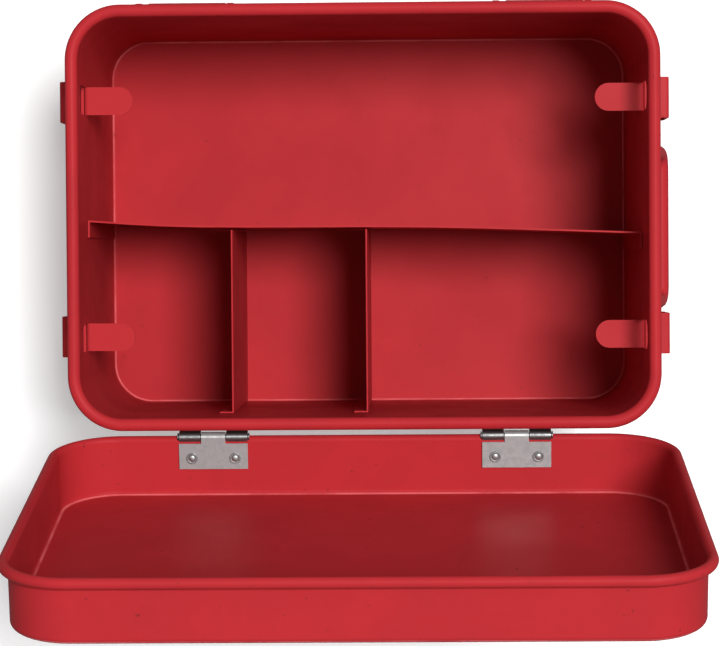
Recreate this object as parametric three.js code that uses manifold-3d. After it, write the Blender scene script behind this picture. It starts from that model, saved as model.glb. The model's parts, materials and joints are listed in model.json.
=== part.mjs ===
// Pressed-steel toolbox with a hinged lid, a fixed partition and tray supports.
// Millimetres, +Z up. The origin is the middle of the underside of the box.
// The hinges are on the +Y side, the latches on the -Y side, the handle on the -X side.
import * as THREE from 'three';
import { mergeVertices } from 'three/addons/utils/BufferGeometryUtils.js';
import Module from 'manifold-3d';

// Body
const BODY_LENGTH = 344;          // over the rolled rim, along X
const BODY_WIDTH = 247;           // over the rolled rim, along Y
const RIM_HEIGHT = 174;           // middle of the rolled rim above the underside
const RIM_CORNER_RADIUS = 32;
const BODY_SHEET = 1.0;
const BODY_CURL_RADIUS = 3.65;
const BODY_BOTTOM_RADIUS = 3;

// Lid
const LID_OPEN_DEG = 101.7;       // angle between closed and the open stop
const LID_LENGTH = 361.4;          // over the rolled rim, along X
const LID_WIDTH = 262.3;          // over the rolled rim, from hinge side to latch side
const LID_DEPTH = 32.8;           // middle of the rolled rim to the outer face of the top
const LID_CORNER_RADIUS = 39.5;
const LID_SHEET = 0.9;
const LID_CURL_RADIUS = 3.0;
const LID_TOP_RADIUS = 3.5;

// Hinges
const AXIS_Y = 127.7;             // hinge axis behind the middle of the box
const AXIS_Z = 166;
const HINGE_X = 88.3;
const HINGE_LENGTH = 40;
const KNUCKLE_RADIUS = 2.9;
const KNUCKLE_BORE_RADIUS = 1.8;
const HINGE_PIN_RADIUS = 1.5;
const LEAF_THICKNESS = 1.2;
const LID_KNUCKLE_LENGTH = 14;
const LEAF_REACH = 18.6;          // hinge axis to the free edge of the lid leaf
const BODY_LEAF_DROP = 24;        // hinge axis to the lower edge of the body leaf
const CRANK_DROP = 10;            // hinge axis to where the body leaf lies flat on the wall
const HINGE_PIN_HEAD = 0.7;
const HINGE_PIN_HEAD_RADIUS = 2.3;
const HINGE_NOTCH_PLAY = 1.6;     // lid notch past each end of a hinge
const LID_RIM_ABOVE_AXIS = 2.7;   // closed lid: middle of its rim above the axis
const LID_WALL_FROM_AXIS = 1.4;   // closed lid: inner face of its rear wall in front of the axis
const RIVET_SPACING = 25.1;
const RIVET_RISE = 12.1;
const RIVET_HOLE_RADIUS = 2.3;
const RIVET_SHANK_RADIUS = 2.0;
const RIVET_HEAD_RADIUS = 3.3;
const RIVET_TAIL = 1.2;

// Partition
const DIVIDER_TOP = 134;
const DIVIDER_SHEET = 1.0;
const DIVIDER_END_FLANGE = 9.7;
const DIVIDER_SHORT_FLANGE = 7.5;
const DIVIDER_CORNER_CUT = 4;
const SHORT_DIVIDER_START_Y = 6.8;
const OUTER_DIVIDER_X = 79;
const MIDDLE_DIVIDER_X = -1;

// Tray supports, lanced from the short walls
const TONGUE_TOP = 137;
const TONGUE_WIDTH = 16.4;
const TONGUE_LENGTH = 28;
const TONGUE_BEND_RADIUS = 2.5;
const TONGUE_HOLE_PLAY = 0.3;
const SIDE_STATION_Y = 70;        // tongues and strap loops, either side of the middle

// Strap loops
const LOOP_TOP = 129;
const LOOP_HEIGHT = 34;
const LOOP_WIDTH = 24.4;
const LOOP_REACH = 15.6;
const LOOP_THICKNESS = 2;
const LOOP_TOP_FOOT = 5;
const LOOP_BOTTOM_FOOT = 8;

// Handle
const HANDLE_Y = 6.65;
const HANDLE_PIVOT_Z = 129;
const HANDLE_STAND_OFF = 5.3;     // pivot axis to the wall
const HANDLE_ROD_RADIUS = 4.6;
const HANDLE_LENGTH = 97.9;
const HANDLE_DROP = 33;           // pivot axis to the middle of the grip
const HANDLE_LEAN_DEG = 14.2;     // the bail rests this far out from the wall
const HANDLE_BEND_RADIUS = 9;
const HANDLE_STUB_RADIUS = 3;
const LUG_BARREL_RADIUS = 4.9;
const LUG_BORE_RADIUS = 3.4;
const LUG_WIDTH = 16;
const LUG_OFFSET = 31.4;          // middle of a lug to the middle of the handle
const LUG_PLATE_REACH = 17;       // lug plate above and below the pivot
const LUG_PLATE_THICKNESS = 1.6;

// Latches
const LATCH_X = 106.1;
const LATCH_PIVOT_Z = 129;
const LATCH_STAND_OFF = 6.9;
const LEVER_WIDTH = 45.8;
const LEVER_SIDE_PLAY = 1.5;
const LEVER_BARREL_RADIUS = 4.2;
const LEVER_SHEET = 1.4;
const LATCH_REST_DEG = 177.5;     // angle between hooked and hanging
const EAR_INNER = 25.2;
const EAR_OUTER = 29.3;
const LATCH_PIN_RADIUS = 1.5;
const LATCH_BORE_RADIUS = 1.85;
const HOOK_WRAP_DEG = 110;
const HOOK_CLEARANCE = 0.4;
const HOOK_SHOULDER = 9;          // straight lever below the hook
const LATCH_PLATE_TOP = 10;
const LATCH_PLATE_BOTTOM = -12;
const LATCH_PIN_HEAD = 0.8;
const LATCH_PIN_HEAD_RADIUS = 2.4;

const GAP = 0.3;                  // between pieces that touch
const CORNER_STEPS = 7;

const wasm = await Module();
wasm.setup();

const red = { color: 0xb0282e, roughness: 0.38, metalness: 0.0 };
const steel = { color: 0x9a9c9b, roughness: 0.35, metalness: 0.95 };

// Distances that follow from the sizes above
const BODY_WALL_INSET = 2 * BODY_CURL_RADIUS - BODY_SHEET;
const WALL_X = BODY_LENGTH / 2 - BODY_WALL_INSET;
const WALL_Y = BODY_WIDTH / 2 - BODY_WALL_INSET;
const LID_REAR_OVERHANG = 2 * LID_CURL_RADIUS - LID_WALL_FROM_AXIS;
const LATCH_PIVOT_Y = WALL_Y + LATCH_STAND_OFF;

function v2(x, y) {
  return new THREE.Vector2(x, y);
}

function mesh(name, geometry, finish) {
  const piece = new THREE.Mesh(geometry, new THREE.MeshStandardMaterial(finish));
  piece.name = name;
  return piece;
}

function group(x, y, z, ...pieces) {
  const holder = new THREE.Group();
  holder.position.set(x, y, z);
  holder.add(...pieces);
  return holder;
}

// Solids for cutting and joining

function toSolid(geometry) {
  const bare = geometry.clone();
  bare.deleteAttribute('normal');
  bare.deleteAttribute('uv');
  const merged = mergeVertices(bare, 1e-4);
  return new wasm.Manifold(new wasm.Mesh({
    numProp: 3,
    vertProperties: new Float32Array(merged.attributes.position.array),
    triVerts: new Uint32Array(merged.index.array),
  }));
}

function toGeometry(solid) {
  const data = solid.getMesh();
  const geometry = new THREE.BufferGeometry();
  geometry.setAttribute('position', new THREE.BufferAttribute(data.vertProperties, 3));
  geometry.setIndex(new THREE.BufferAttribute(data.triVerts, 1));
  return geometry;
}

function join(first, ...others) {
  return others.reduce((whole, other) => whole.add(toSolid(other)), toSolid(first));
}

function cut(solid, ...tools) {
  return tools.reduce((whole, tool) => whole.subtract(toSolid(tool)), solid);
}

// Basic shapes

function box(x0, x1, y0, y1, z0, z1) {
  const geometry = new THREE.BoxGeometry(x1 - x0, y1 - y0, z1 - z0);
  return geometry.translate((x0 + x1) / 2, (y0 + y1) / 2, (z0 + z1) / 2);
}

function extrude(shape, depth, curveSegments = 8) {
  return new THREE.ExtrudeGeometry(shape, { depth, bevelEnabled: false, curveSegments });
}

// A shape drawn in (y, z), extruded along X from x0 to x1.
function alongX(shape, x0, x1) {
  const turn = new THREE.Matrix4().set(0, 0, 1, x0, 1, 0, 0, 0, 0, 1, 0, 0, 0, 0, 0, 1);
  return extrude(shape, x1 - x0).applyMatrix4(turn);
}

// A shape drawn in (x, z), extruded along Y from y0 to y1.
function alongY(shape, y0, y1) {
  const turn = new THREE.Matrix4().set(1, 0, 0, 0, 0, 0, -1, y1, 0, 1, 0, 0, 0, 0, 0, 1);
  return extrude(shape, y1 - y0).applyMatrix4(turn);
}

function rodAlongX(radius, x0, x1, y = 0, z = 0, sides = 16) {
  const rod = new THREE.CylinderGeometry(radius, radius, x1 - x0, sides);
  return rod.rotateZ(Math.PI / 2).translate((x0 + x1) / 2, y, z);
}

function rodAlongY(radius, y0, y1, x = 0, z = 0, sides = 16) {
  const rod = new THREE.CylinderGeometry(radius, radius, y1 - y0, sides);
  return rod.translate(x, (y0 + y1) / 2, z);
}

function arc(cx, cy, radius, startDeg, endDeg, steps) {
  const points = [];
  for (let i = 0; i <= steps; i += 1) {
    const angle = THREE.MathUtils.degToRad(startDeg + ((endDeg - startDeg) * i) / steps);
    points.push(v2(cx + radius * Math.cos(angle), cy + radius * Math.sin(angle)));
  }
  return points;
}

// An outline with a square end at v = 0 and a round end at v = length.
function roundEnded(length, width) {
  const half = width / 2;
  const shape = new THREE.Shape();
  shape.moveTo(-half, 0);
  shape.lineTo(half, 0);
  shape.absarc(0, length - half, half, 0, Math.PI);
  return shape;
}

function roundedRectangle(halfX, halfY, radius) {
  const shape = new THREE.Shape();
  shape.moveTo(halfX, -halfY + radius);
  shape.absarc(halfX - radius, halfY - radius, radius, 0, Math.PI / 2);
  shape.absarc(-halfX + radius, halfY - radius, radius, Math.PI / 2, Math.PI);
  shape.absarc(-halfX + radius, -halfY + radius, radius, Math.PI, Math.PI * 1.5);
  shape.absarc(halfX - radius, -halfY + radius, radius, Math.PI * 1.5, Math.PI * 2);
  return shape;
}

// Drawn pans: the body and the lid

// One closed section, given as (outward, up) points, carried round a rectangle with round corners.
function ring(section, halfX, halfY, cornerRadius) {
  const stations = [];
  for (let corner = 0; corner < 4; corner += 1) {
    const cx = (halfX - cornerRadius) * (corner === 0 || corner === 3 ? 1 : -1);
    const cy = (halfY - cornerRadius) * (corner < 2 ? 1 : -1);
    for (let i = 0; i <= CORNER_STEPS; i += 1) {
      const angle = ((corner + i / CORNER_STEPS) * Math.PI) / 2;
      stations.push({ cx, cy, nx: Math.cos(angle), ny: Math.sin(angle) });
    }
  }
  const positions = [];
  for (const station of stations) {
    for (const point of section) {
      const reach = cornerRadius + point.x;
      positions.push(station.cx + station.nx * reach, station.cy + station.ny * reach, point.y);
    }
  }
  const index = [];
  const count = section.length;
  for (let i = 0; i < stations.length; i += 1) {
    const here = i * count;
    const next = ((i + 1) % stations.length) * count;
    for (let j = 0; j < count; j += 1) {
      const k = (j + 1) % count;
      index.push(here + j, next + j, next + k, here + j, next + k, here + k);
    }
  }
  const geometry = new THREE.BufferGeometry();
  geometry.setAttribute('position', new THREE.Float32BufferAttribute(positions, 3));
  geometry.setIndex(index);
  return geometry;
}

// Section of a pan's wall with its rolled rim and bottom bend. The wall's outer face is at outward 0,
// the underside at height 0 and the middle of the rolled rim at height rim.
function panSection(rim, sheet, curl, bend, floorLap) {
  const curlCentre = curl - sheet;
  const curlEndDeg = -125;
  return [
    v2(-floorLap, 0),
    ...arc(-bend, bend, bend, -90, 0, 3),
    ...arc(curlCentre, rim, curl - sheet, 180, curlEndDeg, 9),
    ...arc(curlCentre, rim, curl, curlEndDeg, 180, 12),
    ...arc(-bend, bend, bend - sheet, 0, -90, 3),
    v2(-floorLap, sheet),
  ];
}

function pan({ length, width, corner, rim, sheet, curl, bend }) {
  const inset = 2 * curl - sheet;
  const halfX = length / 2 - inset;
  const halfY = width / 2 - inset;
  const radius = corner - inset;
  const floorLap = bend + 4;
  const plateInset = bend + 2;
  const wall = ring(panSection(rim, sheet, curl, bend, floorLap), halfX, halfY, radius);
  const plate = roundedRectangle(halfX - plateInset, halfY - plateInset, radius - plateInset);
  return join(wall, extrude(plate, sheet, CORNER_STEPS));
}

// Tray supports: a tongue lanced out of the +X wall and bent inwards, and the hole it leaves above it

function tongue() {
  const bend = TONGUE_BEND_RADIUS;
  const drop = bend + 1;
  const overrun = 3;
  const tip = WALL_X - BODY_SHEET - TONGUE_LENGTH - overrun;
  const profile = new THREE.Shape([
    v2(WALL_X - BODY_SHEET, TONGUE_TOP - drop),
    v2(WALL_X, TONGUE_TOP - drop),
    ...arc(WALL_X - bend, TONGUE_TOP - bend, bend, 0, 90, 4),
    v2(tip, TONGUE_TOP),
    v2(tip, TONGUE_TOP - BODY_SHEET),
    ...arc(WALL_X - bend, TONGUE_TOP - bend, bend - BODY_SHEET, 90, 0, 4),
  ]);
  const outline = extrude(roundEnded(TONGUE_LENGTH + overrun, TONGUE_WIDTH), 3 * drop);
  outline.rotateZ(Math.PI / 2);
  outline.translate(WALL_X - BODY_SHEET + overrun, 0, TONGUE_TOP - 2 * drop);
  const bent = alongY(profile, -TONGUE_WIDTH, TONGUE_WIDTH);
  return toSolid(bent).intersect(toSolid(outline));
}

function tongueHole() {
  const shape = roundEnded(TONGUE_LENGTH + TONGUE_BEND_RADIUS, TONGUE_WIDTH + 2 * TONGUE_HOLE_PLAY);
  const slab = alongX(shape, WALL_X - BODY_SHEET - 1, WALL_X + 1);
  return toSolid(slab.translate(0, 0, TONGUE_TOP - TONGUE_BEND_RADIUS));
}

function bodyShell() {
  let shell = pan({
    length: BODY_LENGTH,
    width: BODY_WIDTH,
    corner: RIM_CORNER_RADIUS,
    rim: RIM_HEIGHT,
    sheet: BODY_SHEET,
    curl: BODY_CURL_RADIUS,
    bend: BODY_BOTTOM_RADIUS,
  });
  for (const turn of [0, 180]) {
    for (const y of [-SIDE_STATION_Y, SIDE_STATION_Y]) {
      shell = shell.subtract(tongueHole().translate([0, y, 0]).rotate([0, 0, turn]));
      shell = shell.add(tongue().translate([0, y, 0]).rotate([0, 0, turn]));
    }
  }
  return mesh('body_shell', toGeometry(shell), red);
}

// Partition

// A sheet that stands upright on the plan line from point to point.
function sheetOnPlan(points, thickness, z0, z1) {
  const near = [];
  const far = [];
  points.forEach((point, i) => {
    const before = points[Math.max(i - 1, 0)];
    const after = points[Math.min(i + 1, points.length - 1)];
    const side = after.clone().sub(before).normalize().multiplyScalar(thickness / 2);
    near.push(v2(point.x + side.y, point.y - side.x));
    far.unshift(v2(point.x - side.y, point.y + side.x));
  });
  return extrude(new THREE.Shape([...near, ...far]), z1 - z0).translate(0, 0, z0);
}

// The long divider is slightly bowed where it was fitted, with a flange at each end.
function longDivider() {
  const half = WALL_X - BODY_SHEET - GAP;
  const bottom = BODY_SHEET + GAP;
  const leftY = 10.2;
  const rightY = 1;
  const bow = [v2(-half, leftY), v2(-38.5, 5.7), v2(98, 4.6), v2(half, rightY)];
  const plan = new THREE.SplineCurve(bow).getPoints(12);
  const flange = (x, y) => box(x, x + DIVIDER_SHEET, y - GAP, y + DIVIDER_END_FLANGE, bottom, DIVIDER_TOP);
  const corner = new THREE.Shape([
    v2(half + 1, bottom - 1),
    v2(half + 1, bottom + DIVIDER_CORNER_CUT),
    v2(half - DIVIDER_CORNER_CUT - 1, bottom - 1),
  ]);
  const rightCorner = alongY(corner, -5, 25);
  const leftCorner = rightCorner.clone().rotateZ(Math.PI).translate(0, 20, 0);
  const whole = join(
    sheetOnPlan(plan, DIVIDER_SHEET, bottom, DIVIDER_TOP),
    flange(-half, leftY),
    flange(half - DIVIDER_SHEET, rightY),
  );
  return mesh('long_divider', toGeometry(cut(whole, rightCorner, leftCorner)), red);
}

// A short divider runs from the long one to the hinge wall, with a flange on that wall.
function shortDivider(name, x) {
  const end = WALL_Y - BODY_SHEET - GAP;
  const bottom = BODY_SHEET + GAP;
  const half = DIVIDER_SHEET / 2;
  const flangeEnd = x + half + DIVIDER_SHORT_FLANGE;
  const sheet = box(x - half, x + half, SHORT_DIVIDER_START_Y, end, bottom, DIVIDER_TOP);
  const flange = box(x - half, flangeEnd, end - DIVIDER_SHEET, end, bottom, DIVIDER_TOP);
  const corner = new THREE.Shape([
    v2(end + 1, bottom - 1),
    v2(end + 1, bottom + DIVIDER_CORNER_CUT),
    v2(end - DIVIDER_CORNER_CUT - 1, bottom - 1),
  ]);
  return mesh(name, toGeometry(cut(join(sheet, flange), alongX(corner, x - 5, x + 15))), red);
}

// Strap loops on the short walls, bent from flat bar

function strapLoop(name, side, y) {
  const t = LOOP_THICKNESS;
  const inner = LOOP_REACH - t;
  const bottom = -LOOP_HEIGHT;
  const profile = new THREE.Shape([
    v2(GAP, LOOP_TOP_FOOT),
    v2(GAP, -t),
    v2(inner, -t),
    v2(inner, bottom + t),
    v2(GAP, bottom + t),
    v2(GAP, bottom - LOOP_BOTTOM_FOOT),
    v2(GAP + t, bottom - LOOP_BOTTOM_FOOT),
    v2(GAP + t, bottom),
    ...arc(LOOP_REACH - t, bottom + t, t, -90, 0, 3),
    ...arc(LOOP_REACH - t, -t, t, 0, 90, 3),
    v2(GAP + t, 0),
    v2(GAP + t, LOOP_TOP_FOOT),
  ]);
  const geometry = alongY(profile, -LOOP_WIDTH / 2, LOOP_WIDTH / 2).translate(WALL_X, 0, 0);
  if (side < 0) geometry.rotateZ(Math.PI);
  return mesh(name, geometry.translate(0, y, LOOP_TOP), red);
}

// Handle on the -X wall

function handleLug(name, y) {
  const face = -GAP - LUG_PLATE_THICKNESS;
  const neck = LUG_BARREL_RADIUS - LUG_PLATE_THICKNESS;
  const profile = new THREE.Shape([
    v2(-GAP, -LUG_PLATE_REACH),
    v2(-GAP, LUG_PLATE_REACH),
    v2(face, LUG_PLATE_REACH),
    v2(face, LUG_BARREL_RADIUS),
    v2(-HANDLE_STAND_OFF, neck),
    v2(-HANDLE_STAND_OFF, -neck),
    v2(face, -LUG_BARREL_RADIUS),
    v2(face, -LUG_PLATE_REACH),
  ]);
  const half = LUG_WIDTH / 2;
  const barrel = rodAlongY(LUG_BARREL_RADIUS, -half, half, -HANDLE_STAND_OFF, 0, 20);
  const bore = rodAlongY(LUG_BORE_RADIUS, -half - 1, half + 1, -HANDLE_STAND_OFF, 0, 16);
  const lug = toGeometry(cut(join(alongY(profile, -half, half), barrel), bore));
  return mesh(name, lug.translate(-WALL_X, y, HANDLE_PIVOT_Z), red);
}

function quarterBend(from, corner, to) {
  const kappa = 0.5523;
  const leave = from.clone().lerp(corner, kappa);
  const arrive = to.clone().lerp(corner, kappa);
  return new THREE.CubicBezierCurve3(from, leave, arrive, to);
}

// A round-bar bail that hangs from the lugs by two stubs turned inwards, and leans out to clear fingers.
function handleBail() {
  const arm = HANDLE_LENGTH / 2 - HANDLE_ROD_RADIUS;
  const r = HANDLE_BEND_RADIUS;
  const at = (y, z) => new THREE.Vector3(0, y, z);
  const path = new THREE.CurvePath();
  path.add(new THREE.LineCurve3(at(-arm, 0), at(-arm, r - HANDLE_DROP)));
  path.add(quarterBend(at(-arm, r - HANDLE_DROP), at(-arm, -HANDLE_DROP), at(r - arm, -HANDLE_DROP)));
  path.add(new THREE.LineCurve3(at(r - arm, -HANDLE_DROP), at(arm - r, -HANDLE_DROP)));
  path.add(quarterBend(at(arm - r, -HANDLE_DROP), at(arm, -HANDLE_DROP), at(arm, r - HANDLE_DROP)));
  path.add(new THREE.LineCurve3(at(arm, r - HANDLE_DROP), at(arm, 0)));
  const section = new THREE.Shape().absarc(0, 0, HANDLE_ROD_RADIUS, 0, Math.PI * 2);
  const bar = new THREE.ExtrudeGeometry(section, { steps: 44, curveSegments: 7, extrudePath: path });
  const stubEnd = LUG_OFFSET - LUG_WIDTH / 2 - 1;
  const knob = new THREE.SphereGeometry(HANDLE_ROD_RADIUS, 14, 10);
  const ends = [-arm, arm].map((y) => knob.clone().translate(0, y, 0));
  const stubs = [[-arm, -stubEnd], [stubEnd, arm]].map(([y0, y1]) => rodAlongY(HANDLE_STUB_RADIUS, y0, y1));
  const bail = toGeometry(join(bar, ...ends, ...stubs));
  bail.rotateY(THREE.MathUtils.degToRad(HANDLE_LEAN_DEG));
  return mesh('handle_bail', bail.translate(-WALL_X - HANDLE_STAND_OFF, HANDLE_Y, HANDLE_PIVOT_Z), red);
}

// Hinges. Each hinge is built about its own axis, with the body's rear wall towards -Y.

function knuckle(x0, x1) {
  return rodAlongX(KNUCKLE_RADIUS, x0, x1, 0, 0, 18);
}

function knuckleBore() {
  return rodAlongX(KNUCKLE_BORE_RADIUS, -HINGE_LENGTH, HINGE_LENGTH, 0, 0, 14);
}

// Cranked leaf: two knuckles, and a plate that steps in under the rim to the body wall.
function hingeBodyLeaf(name) {
  const half = HINGE_LENGTH / 2;
  const back = WALL_Y + GAP - AXIS_Y;
  const front = back + LEAF_THICKNESS;
  const inner = LID_KNUCKLE_LENGTH / 2 + 0.4;
  const crank = new THREE.Shape([
    v2(-2.6, -0.9),
    v2(back, 2.3 - CRANK_DROP),
    v2(back, -CRANK_DROP),
    v2(front, -CRANK_DROP),
    v2(front, 1.7 - CRANK_DROP),
    v2(-1.7, -2.1),
  ]);
  const leaf = join(
    box(-half, half, back, front, -BODY_LEAF_DROP, 1.4 - CRANK_DROP),
    knuckle(-half, -inner),
    knuckle(inner, half),
    alongX(crank, -half, -inner),
    alongX(crank, inner, half),
  );
  return mesh(name, toGeometry(cut(leaf, knuckleBore())), steel);
}

// Flat leaf on the inner face of the lid's rear wall, as it lies with the lid closed.
function hingeLidLeaf(name) {
  const half = HINGE_LENGTH / 2;
  const middle = LID_KNUCKLE_LENGTH / 2;
  const y0 = -KNUCKLE_RADIUS;
  const y1 = y0 + LEAF_THICKNESS;
  const leaf = join(
    box(-half, half, y0, y1, KNUCKLE_RADIUS + 0.5, LEAF_REACH),
    box(-middle, middle, y0, y1, 0, KNUCKLE_RADIUS + 1),
    knuckle(-middle, middle),
  );
  return mesh(name, toGeometry(cut(leaf, knuckleBore(), ...rivetHoles(y0 - 1, y1 + 1))), steel);
}

function rivetHoles(y0, y1) {
  return [-0.5, 0.5].map((k) => rodAlongY(RIVET_HOLE_RADIUS, y0, y1, k * RIVET_SPACING, RIVET_RISE, 14));
}

// Domed rivet through a lid leaf and the lid's rear wall, with its head inside the lid.
function rivet(name, x) {
  const face = -KNUCKLE_RADIUS - GAP;
  const back = -LID_WALL_FROM_AXIS + LID_SHEET + GAP;
  const tail = RIVET_HEAD_RADIUS - 0.3;
  const dome = [0, 30, 55, 75, 90].map((deg) => {
    const angle = THREE.MathUtils.degToRad(deg);
    return v2(RIVET_HEAD_RADIUS * Math.sin(angle), face - Math.cos(angle));
  });
  const profile = [
    ...dome,
    v2(RIVET_SHANK_RADIUS, face),
    v2(RIVET_SHANK_RADIUS, back),
    v2(tail, back),
    v2(tail, back + RIVET_TAIL / 2),
    v2(RIVET_SHANK_RADIUS, back + RIVET_TAIL),
    v2(0, back + RIVET_TAIL),
  ];
  return mesh(name, new THREE.LatheGeometry(profile, 16).translate(x, 0, RIVET_RISE), steel);
}

function hingePin(name) {
  const end = HINGE_LENGTH / 2 + GAP;
  const pin = join(
    rodAlongX(HINGE_PIN_RADIUS, -end, end, 0, 0, 14),
    rodAlongX(HINGE_PIN_HEAD_RADIUS, end, end + HINGE_PIN_HEAD, 0, 0, 14),
    rodAlongX(HINGE_PIN_HEAD_RADIUS, -end - HINGE_PIN_HEAD, -end, 0, 0, 14),
  );
  return mesh(name, toGeometry(pin), steel);
}

// Lid, built closed about the hinge axis

function lidShell() {
  const lid = pan({
    length: LID_LENGTH,
    width: LID_WIDTH,
    corner: LID_CORNER_RADIUS,
    rim: LID_DEPTH,
    sheet: LID_SHEET,
    curl: LID_CURL_RADIUS,
    bend: LID_TOP_RADIUS,
  });
  const shut = lid
    .rotate([180, 0, 0])
    .translate([0, LID_REAR_OVERHANG - LID_WIDTH / 2, LID_RIM_ABOVE_AXIS + LID_DEPTH]);
  const half = HINGE_LENGTH / 2 + HINGE_NOTCH_PLAY;
  const front = -LID_WALL_FROM_AXIS - 1;
  const notchTop = LID_RIM_ABOVE_AXIS + LID_CURL_RADIUS + GAP;
  const tools = [-HINGE_X, HINGE_X].flatMap((x) => [
    box(x - half, x + half, front, LID_REAR_OVERHANG + 1, -1, notchTop),
    ...rivetHoles(front - 1, front + 3).map((hole) => hole.translate(x, 0, 0)),
  ]);
  return mesh('lid_shell', toGeometry(cut(shut, ...tools)), red);
}

// Latches on the -Y wall. Each is built about its own pivot, with the wall towards +Y.

function latchBase(name) {
  const wall = LATCH_STAND_OFF - GAP;
  const ear = new THREE.Shape();
  ear.moveTo(wall - 1, -7);
  ear.lineTo(wall - 1, 7);
  ear.absarc(0, 0, LEVER_BARREL_RADIUS, Math.PI * 0.42, Math.PI * 1.58);
  const base = join(
    box(-EAR_OUTER, EAR_OUTER, wall - LEAF_THICKNESS, wall, LATCH_PLATE_BOTTOM, LATCH_PLATE_TOP),
    alongX(ear, -EAR_OUTER, -EAR_INNER),
    alongX(ear, EAR_INNER, EAR_OUTER),
  );
  const bore = rodAlongX(LATCH_BORE_RADIUS, -EAR_OUTER - 1, EAR_OUTER + 1, 0, 0, 14);
  return mesh(name, toGeometry(cut(base, bore)), red);
}

// The lever is drawn hooked over the closed lid's rim and then swung down to where it hangs.
function latchLever(name) {
  const hookY = AXIS_Y + LID_REAR_OVERHANG - LID_WIDTH + LID_CURL_RADIUS + LATCH_PIVOT_Y;
  const hookZ = AXIS_Z + LID_RIM_ABOVE_AXIS - LATCH_PIVOT_Z;
  const inner = LID_CURL_RADIUS + HOOK_CLEARANCE;
  const outer = inner + LEVER_SHEET;
  const shoulder = hookZ - HOOK_SHOULDER;
  const profile = new THREE.Shape([
    v2(-LEVER_BARREL_RADIUS + LEVER_SHEET, 0),
    v2(hookY - inner, shoulder),
    ...arc(hookY, hookZ, inner, 180, 180 - HOOK_WRAP_DEG, 6),
    ...arc(hookY, hookZ, outer, 180 - HOOK_WRAP_DEG, 180, 6),
    v2(hookY - outer, shoulder),
    v2(-LEVER_BARREL_RADIUS, 0),
  ]);
  const x0 = -LEVER_WIDTH / 2 - LEVER_SIDE_PLAY;
  const x1 = LEVER_WIDTH / 2 - LEVER_SIDE_PLAY;
  const lever = cut(
    join(alongX(profile, x0, x1), rodAlongX(LEVER_BARREL_RADIUS, x0, x1, 0, 0, 20)),
    rodAlongX(LATCH_BORE_RADIUS, x0 - 1, x1 + 1, 0, 0, 14),
  );
  const piece = mesh(name, toGeometry(lever), red);
  piece.rotation.x = THREE.MathUtils.degToRad(LATCH_REST_DEG);
  return piece;
}

function latchPin(name) {
  const end = EAR_OUTER + GAP;
  const pin = join(
    rodAlongX(LATCH_PIN_RADIUS, -end, end, 0, 0, 14),
    rodAlongX(LATCH_PIN_HEAD_RADIUS, end, end + LATCH_PIN_HEAD, 0, 0, 14),
    rodAlongX(LATCH_PIN_HEAD_RADIUS, -end - LATCH_PIN_HEAD, -end, 0, 0, 14),
  );
  return mesh(name, toGeometry(pin), steel);
}

// Assembly

const toolbox = new THREE.Group();
toolbox.add(
  bodyShell(),
  longDivider(),
  shortDivider('short_divider_middle', MIDDLE_DIVIDER_X),
  shortDivider('short_divider_outer', OUTER_DIVIDER_X),
  handleLug('handle_lug_front', HANDLE_Y - LUG_OFFSET),
  handleLug('handle_lug_rear', HANDLE_Y + LUG_OFFSET),
  handleBail(),
);

const lidGroup = group(0, AXIS_Y, AXIS_Z, lidShell());
lidGroup.rotation.x = -THREE.MathUtils.degToRad(LID_OPEN_DEG);
toolbox.add(lidGroup);

for (const [hand, side] of [['left', -1], ['right', 1]]) {
  toolbox.add(
    strapLoop(`strap_loop_${hand}_front`, side, -SIDE_STATION_Y),
    strapLoop(`strap_loop_${hand}_rear`, side, SIDE_STATION_Y),
    group(
      side * HINGE_X, AXIS_Y, AXIS_Z,
      hingeBodyLeaf(`hinge_body_leaf_${hand}`), hingePin(`hinge_pin_${hand}`),
    ),
    group(
      side * LATCH_X, -LATCH_PIVOT_Y, LATCH_PIVOT_Z,
      latchBase(`latch_base_${hand}`), latchLever(`latch_lever_${hand}`), latchPin(`latch_pin_${hand}`),
    ),
  );
  lidGroup.add(group(
    side * HINGE_X, 0, 0,
    hingeLidLeaf(`hinge_lid_leaf_${hand}`),
    rivet(`hinge_rivet_${hand}_outer`, (side * RIVET_SPACING) / 2),
    rivet(`hinge_rivet_${hand}_inner`, (-side * RIVET_SPACING) / 2),
  ));
}

export default toolbox;
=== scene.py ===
import json
import math

import bmesh
import bpy
from bpy.props import FloatProperty, FloatVectorProperty, IntProperty, PointerProperty
from mathutils import Matrix, Vector


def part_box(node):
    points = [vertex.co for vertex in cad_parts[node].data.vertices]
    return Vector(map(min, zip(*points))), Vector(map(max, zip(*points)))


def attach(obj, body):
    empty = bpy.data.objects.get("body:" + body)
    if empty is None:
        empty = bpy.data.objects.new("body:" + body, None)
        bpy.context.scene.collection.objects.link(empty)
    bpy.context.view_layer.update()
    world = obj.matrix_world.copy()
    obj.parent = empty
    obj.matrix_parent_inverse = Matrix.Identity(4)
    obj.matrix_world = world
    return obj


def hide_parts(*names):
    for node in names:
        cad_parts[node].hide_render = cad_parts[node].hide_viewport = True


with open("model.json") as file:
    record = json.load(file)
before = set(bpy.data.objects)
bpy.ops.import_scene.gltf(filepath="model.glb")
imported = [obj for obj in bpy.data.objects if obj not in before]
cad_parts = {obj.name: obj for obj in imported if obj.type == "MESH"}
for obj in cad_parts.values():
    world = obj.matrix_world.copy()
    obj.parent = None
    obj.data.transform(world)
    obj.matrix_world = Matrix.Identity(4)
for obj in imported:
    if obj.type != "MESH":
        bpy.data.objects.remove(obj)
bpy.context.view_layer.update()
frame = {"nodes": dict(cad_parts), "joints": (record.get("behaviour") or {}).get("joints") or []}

bl_info = {
    "name": "Steel Toolbox",
    "version": (1, 0, 0),
    "blender": (4, 5, 0),
    "location": "3D View > Sidebar > Toolbox",
    "description": "Builds a pressed-steel toolbox in red enamel round its CAD frame",
    "category": "Add Mesh",
}

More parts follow.
